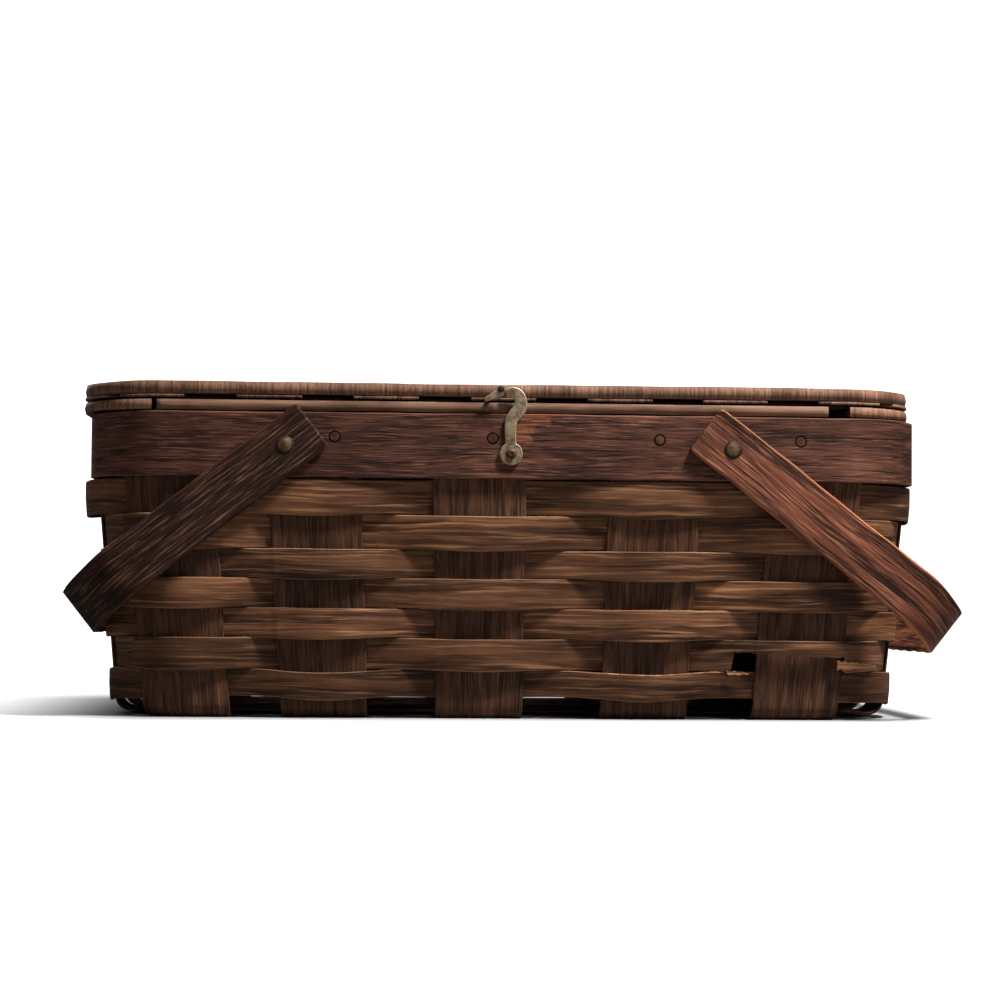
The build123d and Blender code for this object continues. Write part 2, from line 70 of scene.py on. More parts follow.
# The four walls of the ring: front, right, back, left
ACROSS = np.array([[1.0, 0], [0, 1], [-1, 0], [0, -1]])
OUT = np.array([[0.0, -1], [1, 0], [0, 1], [-1, 0]])
LENGTHS = np.array([BODY_L, BODY_D, BODY_L, BODY_D])
REACHES = np.array([BODY_D, BODY_L, BODY_D, BODY_L]) / 2
FLATS = LENGTHS / 2 - CORNER
HALF_PATHS = FLATS + CORNER * pi / 4
MIDDLES = np.arange(4) * (HALF_PATHS[0] + HALF_PATHS[1])
RING = 4 * (HALF_PATHS[0] + HALF_PATHS[1])
STAKES = np.sort(np.concatenate([
    MIDDLES[0] + FRONT_STAKES, MIDDLES[1] + SIDE_STAKES,
    MIDDLES[2] - FRONT_STAKES, MIDDLES[3] - SIDE_STAKES,
]))
RING_START = STAKES[0] - HOLD


# Shapes worked out as arrays

def inset(z):
    """The wall's lean: none at the top of the weave, in a straight line up to LEAN at the floor."""
    return LEAN * np.clip((WEAVE_TOP - z) / WEAVE_TOP, 0, 1)


def rounded(place, flats, reaches, corner, lean=0.0):
    """A rounded rectangle's outline at path length `place`, and its outward normal.

    A place belongs to the wall whose straight part is nearest. On the straight part the point slides
    in proportion as the wall leans in; past it, it goes round the corner by the angle
    (length past the straight part) / corner."""
    halves = flats + corner * pi / 4
    quarter = halves[0] + halves[1]
    along = (place[..., None] - np.arange(4) * quarter + 2 * quarter) % (4 * quarter) - 2 * quarter
    wall = np.argmin(np.abs(along) - flats, axis=-1)
    along = np.take_along_axis(along, wall[..., None], -1)[..., 0]
    past = np.maximum(np.abs(along) - flats[wall], 0) / corner
    side = np.sign(along)
    flat = flats[wall] - lean
    across = np.where(past > 0, side * (flat + corner * np.sin(past)), along * flat / flats[wall])
    out = reaches[wall] - lean - corner + corner * np.cos(past)
    xy = across[..., None] * ACROSS[wall] + out[..., None] * OUT[wall]
    n = (side * np.sin(past))[..., None] * ACROSS[wall] + np.cos(past)[..., None] * OUT[wall]
    return xy, n


def ring(place, z):
    """The body's ring at path length `place` and height z, and its outward normal."""
    place, z = np.broadcast_arrays(np.asarray(place, float), np.asarray(z, float))
    xy, n = rounded(place, FLATS, REACHES, CORNER, inset(z))
    return np.concatenate([xy, z[..., None]], -1), np.concatenate([n, 0 * z[..., None]], -1)


def wander(turn, seed, size):
    """A wavy line round a closed ring: three sines of whole cycles, shifted by the seed."""
    return size * (0.45 * np.sin(5 * turn + seed * 1.7) + 0.3 * np.sin(13 * turn + seed * 3.1)
                   + 0.25 * np.sin(31 * turn + seed * 5.3))


def step(value, low, high):
    """A smooth step from 0 at low to 1 at high."""
    t = np.clip((value - low) / (high - low), 0, 1)
    return t * t * (3 - 2 * t)


def run_of(points):
    """The length run along a row of points: the sum of the steps up to each."""
    return np.concatenate([[0], np.cumsum(np.linalg.norm(np.diff(points, axis=0), axis=1))])


def grid_faces(n, m, closed_n, closed_m):
    """The quads of an n by m grid, joined end to end where it is closed."""
    i = np.arange(n if closed_n else n - 1)
    j = np.arange(m if closed_m else m - 1)
    i, j = np.meshgrid(i, j, indexing="ij")
    i2, j2 = (i + 1) % n, (j + 1) % m
    return np.stack([i * m + j, i * m + j2, i2 * m + j2, i2 * m + j], -1).reshape(-1, 4)


def make_piece(name, verts, faces, uv, body, slot, material, values, replaces=()):
    """A mesh object from arrays: points, a list of face arrays, UVs in metres for each face's
    corners, and values stored at the points. It rides on its body and takes the material given; its
    slot is not used."""
    mesh = bpy.data.meshes.new(name)
    loops = np.concatenate([f.reshape(-1) for f in faces])
    sizes = np.concatenate([np.full(len(f), f.shape[1]) for f in faces])
    mesh.vertices.add(len(verts))
    mesh.vertices.foreach_set("co", np.asarray(verts, np.float32).reshape(-1))
    mesh.loops.add(len(loops))
    mesh.loops.foreach_set("vertex_index", loops.astype(np.int32))
    mesh.polygons.add(len(sizes))
    mesh.polygons.foreach_set("loop_start", (np.cumsum(sizes) - sizes).astype(np.int32))
    mesh.polygons.foreach_set("loop_total", sizes.astype(np.int32))
    mesh.update(calc_edges=True)
    layer = mesh.uv_layers.new(name="grain")
    layer.data.foreach_set("uv", np.asarray(uv, np.float32).reshape(-1))
    for key, value in values.items():
        attribute = mesh.attributes.new(key, "FLOAT", "POINT")
        attribute.data.foreach_set("value", np.asarray(value, np.float32).reshape(-1))
    mesh.shade_smooth()
    mesh.materials.append(material)
    piece = bpy.data.objects.new(name, mesh)
    bpy.context.scene.collection.objects.link(piece)
    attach(piece, body)
    if replaces:
        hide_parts(*replaces)


# The most that an edge is drawn in, as a share of the way to the next point
MOST_PULL = 0.7


def strip(name, mid, normal, thickness, along, across, closed=0.0, rounding=0.3 * mm, shift=0.0,
          raw=0.0, tone=1.0, **kw):
    """A splint or board: a mid surface of n by m points grown by half its thickness both ways.

    The loop round each station is the outer points, one edge point, the inner points backwards and
    the other edge point. Outer and inner edge points are drawn in by the rounding, but by no more
    than MOST_PULL of the way to the next point, so the edge is soft. An open strip ends in two caps;
    `closed` is a closed one's whole length. UVs are metres along and across the grain. The values
    are: edge at the rims, raw wood, and a tone."""
    n, m = mid.shape[:2]
    normal = np.broadcast_to(normal, mid.shape)
    side = mid[:, -1] - mid[:, 0]
    side /= np.linalg.norm(side, axis=-1, keepdims=True)
    half = np.broadcast_to(np.asarray(thickness, float), (n, m))[..., None] / 2
    pull = np.zeros((n, m, 3))
    for edge, next_in, way in ((0, 1, 1), (-1, -2, -1)):
        room = MOST_PULL * np.linalg.norm(mid[:, next_in] - mid[:, edge], axis=-1, keepdims=True)
        pull[:, edge] = way * side * np.minimum(rounding, room)
    outer = mid + normal * half + pull
    inner = mid - normal * half + pull
    loop = np.concatenate([outer, mid[:, -1:], inner[:, ::-1], mid[:, :1]], 1)
    count = loop.shape[1]
    across = np.broadcast_to(across, (n, m))
    v_of = np.concatenate([across, across[:, -1:] + half[:, -1:, 0], across[:, ::-1],
                           across[:, :1] - half[:, :1, 0]], 1)
    u_of = np.broadcast_to(np.asarray(along, float)[:, None], (n, count))
    faces = grid_faces(n, count, closed > 0, True)
    u_corner, v_corner = u_of.reshape(-1)[faces], v_of.reshape(-1)[faces]
    if closed:
        wrapped = u_corner.max(1) - u_corner.min(1) > closed / 2
        u_corner[wrapped] += np.where(u_corner[wrapped] < closed / 2, closed, 0)
    uv = [np.stack([u_corner, v_corner], -1).reshape(-1, 2)]
    all_faces = [faces]
    if not closed:
        first, last = np.arange(count)[None, ::-1], (np.arange(count) + (n - 1) * count)[None]
        all_faces += [first, last]
        for cap in (first, last):
            uv.append(np.stack([u_of.reshape(-1)[cap], v_of.reshape(-1)[cap]], -1).reshape(-1, 2))
    if np.einsum("...i,...i", np.cross(mid[1] - mid[0], side[0]), normal[0])[m // 2] > 0:
        all_faces = [f[:, ::-1] for f in all_faces]
        uv = [u.reshape(f.shape + (2,))[:, ::-1].reshape(-1, 2) for u, f in zip(uv, all_faces)]
    edge = np.zeros((n, count))
    edge[:, [0, m - 1, m, m + 1, 2 * m, 2 * m + 1]] = 1
    values = {"edge": edge}
    for key, value in (("raw", raw), ("tone", tone)):
        value = np.broadcast_to(value, (n, m))
        values[key] = np.concatenate([value, value[:, -1:], value[:, ::-1], value[:, :1]], 1)
    uv = np.concatenate(uv) + shift
    make_piece(name, loop.reshape(-1, 3), all_faces, uv, values=values, **kw)


def across_steps(half, fine=0.8 * mm, count=5):
    """Points across a strip: two close to each edge, and even steps between."""
    even = np.linspace(-half + 3 * fine, half - 3 * fine, count)
    return np.concatenate([[-half, -half + fine], even, [half - fine, half]])


def turned(name, places, normals, profile, **kw):
    """Round pins at several places: one profile of (radius, height) rows turned about each normal,
    and closed by a flat round face at each end.

    The edge value grows from the middle of the head to its rim."""
    sides = 20
    turn = np.arange(sides) / sides * 2 * pi
    radius, height = np.asarray(profile, float).T
    rows = len(radius)
    out = np.asarray(normals, float)
    a = np.cross([0, 0, 1.0], out)
    b = np.cross(out, a)
    around = np.cos(turn)[:, None] * a[:, None] + np.sin(turn)[:, None] * b[:, None]
    verts = (np.asarray(places)[:, None, None] + radius[:, None, None] * around[:, None]
             + height[:, None, None] * out[:, None, None])
    firsts = np.arange(len(places)) * rows * sides
    walls = grid_faces(rows, sides, False, True)[None, :, ::-1] + firsts[:, None, None]
    walls = walls.reshape(-1, 4)
    tops = np.arange(sides)[None] + firsts[:, None]
    ends = np.arange(sides)[None, ::-1] + firsts[:, None] + (rows - 1) * sides
    edge = np.tile(np.repeat(radius / radius.max(), sides), len(places))
    flat = np.concatenate([f.reshape(-1) for f in (walls, tops, ends)])
    verts = verts.reshape(-1, 3)
    uv = np.stack([edge[flat] * radius.max(), verts[flat][:, 2]], -1)
    make_piece(name, verts, [walls, tops, ends], uv, values={"edge": edge}, **kw)


# Shader nodes

def node(tree, kind, inputs=None, **settings):
    """One shader node: its settings, then each input linked from a socket or set to a value."""
    made = tree.nodes.new("ShaderNode" + kind)
    for key, value in settings.items():
        setattr(made, key, value)
    for key, value in (inputs or {}).items():
        if isinstance(value, bpy.types.NodeSocket):
            tree.links.new(value, made.inputs[key])
        else:
            made.inputs[key].default_value = value
    return made


def maths(tree, operation, a, b=0.0):
    """A Math node's result."""
    return node(tree, "Math", {0: a, 1: b}, operation=operation).outputs[0]


def times(tree, a, b):
    """Two values multiplied."""
    return maths(tree, "MULTIPLY", a, b)


def blend(tree, factor, a, b, mode="MIX"):
    """Two colours mixed by a factor."""
    made = node(tree, "Mix", {0: factor, 6: a, 7: b}, data_type="RGBA", blend_type=mode)
    return made.outputs[2]


def between(tree, value, low, high, to_low=0.0, to_high=1.0):
    """A value's smooth step from low to high, as to_low to to_high."""
    made = node(tree, "MapRange", {0: value, 1: low, 2: high, 3: to_low, 4: to_high},
                interpolation_type="SMOOTHSTEP")
    return made.outputs[0]


def noise(tree, vector, detail=3.0, rough=0.55, scale=1.0):
    """A noise pattern's value at a vector."""
    return node(tree, "TexNoise", {"Vector": vector, "Scale": scale, "Detail": detail,
                                   "Roughness": rough}).outputs[0]


def joined(tree, x, y, z=0.0):
    """A vector from three values."""
    return node(tree, "CombineXYZ", {0: x, 1: y, 2: z}).outputs[0]


def stretched(tree, vector, x, y, z=1.0):
    """A vector times three factors."""
    factors = joined(tree, x, y, z)
    return node(tree, "VectorMath", {0: vector, 1: factors}, operation="MULTIPLY").outputs[0]


def grey(tree, value):
    """A colour of one value."""
    return node(tree, "CombineColor", {0: value, 1: value, 2: value}).outputs[0]


def value_of(tree, name):
    """A value stored on the mesh."""
    return node(tree, "Attribute", attribute_name=name).outputs["Fac"]


def srgb(r, g, b):
    """A colour given as it looks on screen, 0 to 255, in the linear values that shaders take."""
    c = np.array([r, g, b]) / 255
    return (*np.where(c <= 0.04045, c / 12.92, ((c + 0.055) / 1.055) ** 2.4), 1.0)


def group(name, inputs, outputs):
    """A new shader group with its named sockets; floats unless their name is Vector."""
    tree = bpy.data.node_groups.new(name, "ShaderNodeTree")
    for key, value in inputs.items():
        kind = "NodeSocketVector" if key == "Vector" else "NodeSocketFloat"
        socket = tree.interface.new_socket(key, in_out="INPUT", socket_type=kind)
        if value is not None:
            socket.default_value = value
    for key in outputs:
        tree.interface.new_socket(key, in_out="OUTPUT", socket_type="NodeSocketFloat")
    return tree, tree.nodes.new("NodeGroupInput"), tree.nodes.new("NodeGroupOutput")


def make_split_wood():
    """Split wood by its UVs: wavy fibres, broad streaks, dark pores, soft patches and relief."""
    sizes = {"Vector": None, "Length": 30.0, "Width": 900.0, "Waves": 2.0}
    tree, given, result = group("split_wood", sizes,
                                ["Fibres", "Streaks", "Pores", "Patches", "Relief"])
    vector, length, width, waves = given.outputs[:4]
    bend = maths(tree, "SUBTRACT", noise(tree, stretched(tree, vector, 11.0, 26.0), 2.0, 0.5), 0.5)
    bend = times(tree, times(tree, bend, waves), mm)
    vector = node(tree, "VectorMath", {0: vector, 1: joined(tree, 0.0, bend)}).outputs[0]

    def layer(x, y, detail, rough):
        """Noise at shares x and y of the grain's own length and width factors."""
        place = stretched(tree, vector, times(tree, length, x), times(tree, width, y))
        return noise(tree, place, detail, rough)

    fibres = layer(1.0, 1.0, 4.0, 0.62)
    streaks = layer(0.4, 0.2, 4.0, 0.6)
    pores = between(tree, layer(0.9, 0.75, 2.0, 0.55), 0.55, 0.66)
    patches = noise(tree, stretched(tree, vector, 13.0, 36.0), 3.0, 0.6)
    body = maths(tree, "ADD", times(tree, fibres, 0.5), times(tree, streaks, 0.4))
    relief = maths(tree, "SUBTRACT", body, times(tree, pores, 0.7))
    for place, value in enumerate((fibres, streaks, pores, patches, relief)):
        tree.links.new(value, result.inputs[place])
    return tree


split_wood = make_split_wood()


def wood(name, tones, length, width, pores, wear_and_highlight, worn, bump=0.25, depth=0.5 * mm, waves=2.0,
         patch=0.3, extra=None):
    """A stained wood: three tones by streaks and fibres, soft patches, dark pores, rims in a pale
    tone that is partly worn wood and partly a painted highlight where the rounded edges catch the
    light, and, where the mesh says so, raw split wood. Length and width are the grain's factors."""
    material = bpy.data.materials.new(name)
    material.use_nodes = True
    tree = material.node_tree
    shader = tree.nodes["Principled BSDF"]
    grain = node(tree, "Group")
    grain.node_tree = split_wood
    tree.links.new(node(tree, "UVMap", uv_map="grain").outputs[0], grain.inputs["Vector"])
    for key, value in (("Length", length), ("Width", width), ("Waves", waves)):
        grain.inputs[key].default_value = value
    out = grain.outputs
    dark, middle, light = (srgb(*t) for t in tones)
    colour = blend(tree, between(tree, out["Streaks"], 0.36, 0.62), dark, middle)
    colour = blend(tree, between(tree, out["Fibres"], 0.48, 0.74), colour, light)
    tint = between(tree, out["Patches"], 0.3, 0.7, 1 - patch, 1 + patch)
    tint = times(tree, tint, value_of(tree, "tone"))
    colour = blend(tree, 1.0, colour, grey(tree, tint), "MULTIPLY")
    hollow = (*(0.3 * c for c in dark[:3]), 1.0)
    colour = blend(tree, times(tree, out["Pores"], pores), colour, hollow)
    edge = between(tree, value_of(tree, "edge"), 0.3, 1.0)
    # Painted highlight and worn wood: the rims are mixed towards the pale worn tone, partly for
    # wearing and partly for the light their rounded edges catch from above.
    rim_blend = times(tree, edge, between(tree, out["Patches"], 0.35, 0.65, 0.25, 1.0))
    rim_blend = times(tree, rim_blend, wear_and_highlight)
    colour = blend(tree, rim_blend, colour, srgb(*worn))
    if extra:
        colour = extra(tree, colour, out)
    split = between(tree, out["Fibres"], 0.4, 0.65)
    split = blend(tree, split, srgb(134, 86, 54), srgb(206, 156, 110))
    colour = blend(tree, value_of(tree, "raw"), colour, split)
    tree.links.new(colour, shader.inputs["Base Color"])
    rough = between(tree, out["Fibres"], 0.2, 0.8, 0.7, 0.5)
    tree.links.new(rough, shader.inputs["Roughness"])
    shader.inputs["Specular IOR Level"].default_value = 0.14
    inside = maths(tree, "SUBTRACT", 1.0, times(tree, edge, 0.9))
    height = times(tree, out["Relief"], inside)
    relief = node(tree, "Bump", {"Strength": bump, "Distance": depth, "Height": height})
    tree.links.new(relief.outputs[0], shader.inputs["Normal"])
    return material


def make_tarnish():
    """Old metal by object coordinates: cloudy tarnish, fine pits, and a mask where the edge value is
    high."""
    tree, given, result = group("tarnish", {"Vector": None, "Edge": 0.0}, ["Tarnish", "Pits", "Rub"])
    vector, edge = given.outputs[:2]
    clouds = noise(tree, vector, 5.0, 0.65, 240.0)
    pits = noise(tree, vector, 3.0, 0.6, 1100.0)
    rim_blend = times(tree, between(tree, edge, 0.66, 0.78), between(tree, clouds, 0.2, 0.35))
    tarnished = between(tree, clouds, 0.34, 0.66)
    for place, value in enumerate((tarnished, pits, rim_blend)):
        tree.links.new(value, result.inputs[place])
    return tree


tarnish = make_tarnish()


def metal(name, bright, dull, worn, metallic, rough=0.5, rim_blend=0.6):
    """Old metal: bright to tarnished in clouds, its rims blended to a third tone, finely pitted."""
    material = bpy.data.materials.new(name)
    material.use_nodes = True
    tree = material.node_tree
    shader = tree.nodes["Principled BSDF"]
    aged = node(tree, "Group")
    aged.node_tree = tarnish
    tree.links.new(node(tree, "TexCoord").outputs["Object"], aged.inputs["Vector"])
    tree.links.new(value_of(tree, "edge"), aged.inputs["Edge"])
    colour = blend(tree, aged.outputs["Tarnish"], srgb(*bright), srgb(*dull))
    colour = blend(tree, times(tree, aged.outputs["Rub"], rim_blend), colour, srgb(*worn))
    tree.links.new(colour, shader.inputs["Base Color"])
    tree.links.new(between(tree, aged.outputs["Tarnish"], 0.0, 1.0, rough, rough + 0.25),
                   shader.inputs["Roughness"])
    shader.inputs["Metallic"].default_value = metallic
    shader.inputs["Specular IOR Level"].default_value = 0.5 * metallic
    pitted = {"Strength": 0.25, "Distance": 0.3 * mm, "Height": aged.outputs["Pits"]}
    tree.links.new(node(tree, "Bump", pitted).outputs[0], shader.inputs["Normal"])
    return material


def box_mask(tree, value, low, high, soft):
    """1 where a value lies between low and high, with soft ends."""
    return times(tree, between(tree, value, low - soft, low + soft),
                 between(tree, value, high - soft, high + soft, 1.0, 0.0))


# The chip's wide flake and the notch below it: from, to and softness, along x and up z
FLAKE = (0.001, 0.0245, 0.0004), (0.1700, 0.1790, 0.0003)
NOTCH = (0.001, 0.0125, 0.0005), (0.1600, 0.1715, 0.0006)
BAND_FACE = -0.1475, -0.1485


def chipped(tree, colour, out):
    """The raw orange chip in the band right of the latch: a wide shallow flake under the top edge and
    a narrow one down beside the latch's eye, with ragged borders, in object coordinates."""
    place = node(tree, "TexCoord").outputs["Object"]
    x, y, z = node(tree, "SeparateXYZ", {0: place}).outputs
    rough = noise(tree, stretched(tree, place, 110.0, 110.0, 260.0), 3.0, 0.6)
    rough = maths(tree, "SUBTRACT", rough, 0.5)
    x = maths(tree, "ADD", x, times(tree, rough, 0.016))
    z = maths(tree, "ADD", z, times(tree, rough, 0.005))
    parts = [times(tree, box_mask(tree, x, *along), box_mask(tree, z, *up))
             for along, up in (FLAKE, NOTCH)]
    mask = times(tree, maths(tree, "MAXIMUM", *parts), between(tree, y, *BAND_FACE))
    mask = times(tree, mask, between(tree, out["Streaks"], 0.3, 0.5, 0.55, 1.0))
    raw = blend(tree, between(tree, out["Fibres"], 0.4, 0.68), srgb(92, 50, 34), srgb(158, 98, 70))
    return blend(tree, mask, colour, raw)


def sawn(tree, colour, _out):
    """End grain on the outer rim of the lid's boards: short upright lines where the edge value is
    high."""
    place = node(tree, "UVMap", uv_map="grain").outputs[0]
    lines = noise(tree, stretched(tree, place, 620.0, 90.0), 4.0, 0.65)
    blocks = noise(tree, stretched(tree, place, 30.0, 8.0), 3.0, 0.6)
    tones = blend(tree, between(tree, lines, 0.3, 0.7), srgb(88, 58, 44), srgb(154, 114, 90))
    shade = grey(tree, between(tree, blocks, 0.3, 0.7, 0.66, 1.3))
    tones = blend(tree, 1.0, tones, shade, "MULTIPLY")
    return blend(tree, between(tree, value_of(tree, "edge"), 0.75, 0.95), colour, tones)


stake_wood = wood("stake_wood", ((54, 33, 23), (91, 59, 42), (124, 85, 62)), 34, 900,
                  pores=0.6, wear_and_highlight=0.3, worn=(120, 84, 62), waves=6.0, patch=0.26)
weaver_wood = wood("weaver_wood", ((53, 31, 19), (113, 74, 50), (168, 120, 86)), 17, 520,
                   pores=0.5, wear_and_highlight=0.8, worn=(158, 118, 86), waves=7.0)
band_wood = wood("band_wood", ((44, 24, 19), (92, 56, 43), (142, 96, 76)), 46, 900,
                 pores=0.75, wear_and_highlight=0.6, worn=(142, 100, 80), bump=0.5, waves=5.0, extra=chipped)
# Painted shade and light: the left handle's much darker tones paint the shade on the basket's left
# end, and the right handle's lighter tones paint the light from the right.
shaded_left_wood = wood("left_handle_wood_painted_shade", ((26, 14, 10), (44, 25, 18), (124, 84, 62)), 42, 720,
                 pores=0.35, wear_and_highlight=0.35, worn=(104, 70, 54), bump=0.7, depth=0.8 * mm, patch=0.2)
lit_right_wood = wood("right_handle_wood_painted_light", ((50, 25, 19), (122, 70, 51), (180, 120, 88)), 30, 640,
                  pores=0.7, wear_and_highlight=0.9, worn=(188, 122, 76), bump=0.6, depth=0.8 * mm, waves=4.0)
LID_TONES = (60, 38, 28), (112, 79, 62), (150, 114, 92)
lid_wood = wood("lid_wood", LID_TONES, 30, 800, pores=0.6, wear_and_highlight=0.6, worn=(150, 114, 90), bump=0.4,
                patch=0.25)
end_wood = wood("sawn_lid_wood", LID_TONES, 30, 800, pores=0.5, wear_and_highlight=0.5, worn=(150, 114, 90),
                bump=0.4, extra=sawn)
brass = metal("old_brass", (166, 146, 118), (98, 78, 58), (212, 200, 174), 0.6, rough=0.34, rim_blend=0.8)
# Rivet heads, and nail heads below, are near black round their rims.
rivet_brass = metal("rivet_brass", (112, 86, 58), (62, 44, 31), (40, 27, 20), 0.5, rim_blend=0.8)
rust = metal("rusty_steel", (84, 56, 42), (40, 24, 18), (120, 90, 70), 0.4)
nail_steel = metal("nail_steel", (98, 68, 55), (66, 43, 34), (8, 5, 4), 0.0, rough=0.85, rim_blend=1.0)
hinge_steel = metal("hinge_steel", (92, 80, 72), (52, 42, 38), (130, 118, 104), 0.7)


# Stakes: each strip goes up one wall, under the floor and up the other

def make_stake(name, middle, wall, floor_z, seed):
    """A stake through `middle` of a wall and of the opposite one.

    Each half follows the ring at the stake's path lengths, moved in along the normal round the foot
    by a quarter turn; the floor joins the two halves in straight lines. The strip is a little
    crowned, and its edges wave by a fraction of a millimetre."""
    radius = FOOT - STAKE_T / 2
    curve, rise = np.linspace(pi / 2, 0, 9), np.linspace(floor_z + FOOT, STAKE_TOP, 70)[1:]
    turn = np.concatenate([curve, 0 * rise])
    z = np.concatenate([floor_z + FOOT - radius * np.sin(curve), rise])
    inward = radius * (1 - np.cos(turn))
    steps = across_steps(STAKE_W / 2)
    halves = []
    for side in (0, 1):
        waves = 0.35 * mm * np.sin(z * 70 + seed * 2 + side)[:, None] * (steps / STAKE_W * 2)
        where = MIDDLES[(wall + 2 * side) % 4] + (-1 if side else 1) * (middle + steps + waves)
        at, out = ring(where, z[:, None])
        lean = np.zeros_like(out)
        lean[..., 2] = -LEAN / WEAVE_TOP * (z < WEAVE_TOP)[:, None]
        angle = turn[:, None, None]
        normal = (out + lean) * np.cos(angle) + np.array([0, 0, -1.0]) * np.sin(angle)
        normal /= np.linalg.norm(normal, axis=-1, keepdims=True)
        halves.append((at - out * inward[:, None, None], normal))
    share = np.linspace(0, 1, 24)[1:-1, None, None]
    (front, front_n), (back, back_n) = halves
    floor = front[0][None] * (1 - share) + back[0][None] * share
    floor_n = np.broadcast_to([0, 0, -1.0], floor.shape)
    mid = np.concatenate([front[::-1], floor, back])
    normal = np.concatenate([front_n[::-1], floor_n, back_n])
    strip(name, mid, normal, STAKE_T, run_of(mid[:, 4]), steps, body="basket", slot="stake_splint",
          material=stake_wood, replaces=(name,), shift=seed * 0.73, rounding=0.25 * mm,
          tone=1 + 0.12 * sin(seed * 2.4))


for number, x in enumerate(FRONT_STAKES, start=1):
    make_stake(f"stake_cross_{number}", x, 0, 0.0, number)
for number, y in enumerate(SIDE_STAKES, start=1):
    make_stake(f"stake_long_{number}", y, 1, STAKE_T + LAYER_GAP, number + 7)


# Weavers: one ring a row, bowed out over one stake and in behind the next

def weave_wave(place, row):
    """A row's layer at a place, 1 outside a stake and -1 behind one, and its hump.

    It keeps its layer along a stake and crosses between two by a smooth step. The hump is a cosine
    squared, 1 at the stake and 0 at the crossings."""
    at = RING_START + (place - RING_START) % RING
    ends = np.append(STAKES, STAKES[0] + RING)
    index = np.searchsorted(STAKES - HOLD, at + 1e-9, side="right") - 1
    sign = np.where((row + index) % 2 == 1, 1.0, -1.0)
    leave, arrive = ends[index] + HOLD, ends[index + 1] - HOLD
    t = np.clip((at - leave) / (arrive - leave), 0, 1)
    layer = sign * (1 - 2 * step(t, 0, 1))
    nearest = np.where(t < 0.5, ends[index], ends[index + 1])
    reach = (arrive - leave) / 2 + HOLD
    return layer, np.cos(np.clip(np.abs(at - nearest) / reach, 0, 1) * pi / 2) ** 2


# How far each row bows out over a stake on the long walls, the left end and the right end
BOWS = np.array([[3.6, 2.2, 3.6], [4.4, 2.2, 3.8], [5.0, 1.3, 4.0], [5.0, 1.2, 4.0], [4.6, 1.3, 4.0],
                 [3.9, 3.0, 4.0], [2.3, 8.0, 4.6]]) * mm
# How light each row is, and the stations round a row, a rim band and the lid's frame
ROW_TONES = (0.64, 0.82, 1.2, 1.18, 0.78, 1.14, 1.16)
ROW_STATIONS, BAND_STATIONS, LID_STATIONS = 720, 600, 900
# Path lengths along the front wall: the torn part of the second row, and the part of the first
# row whose upper edge is worn to raw wood
TORN_FROM, TORN_TO = 0.1384, 0.2078
WORN_FROM, WORN_TO = 0.062, 0.147


def box(value, low, high):
    """1 where a value lies between low and high, else 0."""
    return ((value > low) & (value < high)).astype(float)


def make_weaver(row):
    """A row's ring. Its offset is its layer plus a bow over each stake; its lower edge sags and its
    upper edge dips where it bows, and both wander a little. Its section is cupped, and its lower
    edge stands out further than its upper one."""
    near = np.arange(TORN_FROM - 8 * mm, TORN_TO + 6 * mm, 0.5 * mm) if row == 1 else []
    even = RING_START + np.arange(ROW_STATIONS) * RING / ROW_STATIONS
    place = np.unique(np.round(np.concatenate([even, near]), 7))
    layer, hump = weave_wave(place, row)
    over, under = np.clip(layer, 0, 1), np.clip(-layer, 0, 1)
    bulge = hump * step(over, 0, 0.9)
    turn = place / RING * 2 * pi
    drop = 2.4 * mm if row == 0 else 0.5 * mm
    spare = (0.1 - 0.6 * under * hump) * mm
    low = ROW_JOINS[row] + spare - (1.2 * mm + drop / 2) * bulge + wander(turn, row, 0.3 * mm)
    high = ROW_JOINS[row + 1] - spare - (drop - 0.3 * mm) * bulge
    high += wander(turn, row + 9, 0.35 * mm)
    if row == 0:
        low -= 3.2 * mm * np.abs(ring(place, 0 * place + 0.02)[1][:, 0]) ** 0.5
    raw_low, raw_high = 0 * place, 0 * place
    if row == 0:
        raw_high = box(place, WORN_FROM, WORN_TO) * (0.5 + 0.5 * np.sin(place * 700) > 0.35)
    if row == 1:
        torn = box(place, TORN_FROM, TORN_TO)
        ragged = wander(place * 40, 2, 0.5 * mm)
        left = 39.8 * mm - 2.8 * mm * (place - TORN_FROM) / (TORN_TO - TORN_FROM) + ragged
        bite = np.clip((place - TORN_FROM) / (1.5 * mm), 0, 1)
        bite = bite * np.clip((TORN_TO - place) / (1.2 * mm), 0, 1)
        low = np.where(torn > 0, low * (1 - bite) + np.maximum(left, low) * bite, low)
        raw_low = torn * (0.6 + 0.4 * np.sin(place * 900)) * (0.35 + step(place, 0.18, 0.2))
    steps = across_steps(0.5, 0.045, 3)
    z = (low + high)[:, None] / 2 + steps * (high - low)[:, None]
    mid, normal = ring(place[:, None], z)
    ends = np.abs(normal[:, 4, 0]) ** 1.5
    side = np.where(normal[:, 4, 0] < 0, BOWS[row, 1], BOWS[row, 2])
    bow = BOWS[row, 0] * (1 - ends) + side * ends
    offset = layer * WEAVER_OFF + bow * hump * over - 0.6 * mm * hump * under
    cup = -0.5 * mm * (2 * steps) ** 2 * over[:, None]
    lean = -0.55 * mm * (2 * steps) * over[:, None]
    mid = mid + normal * (offset[:, None] + cup + lean)[..., None]
    slope = np.gradient(offset, place)
    tangent = np.stack([-normal[..., 1], normal[..., 0], 0 * z], -1)
    tilt = normal - tangent * slope[:, None, None]
    tilt[..., 2] += 0.06
    tilt /= np.linalg.norm(tilt, axis=-1, keepdims=True)
    raw = np.zeros(z.shape)
    raw[:, :1] = raw_low[:, None]
    raw[:, -1:] = raw_high[:, None]
    tone = ROW_TONES[row] + 0.07 * np.sin(turn * 6 + row * 1.9)
    name = f"weaver_{row + 1}"
    strip(name, mid, tilt, WEAVER_T, place - RING_START, z - ROW_JOINS[row], closed=RING,
          body="basket", slot="weaver_splint", material=weaver_wood, replaces=(name,),
          shift=row * 0.91, rounding=0.4 * mm, raw=raw, tone=tone[:, None])


for row in range(7):
    make_weaver(row)


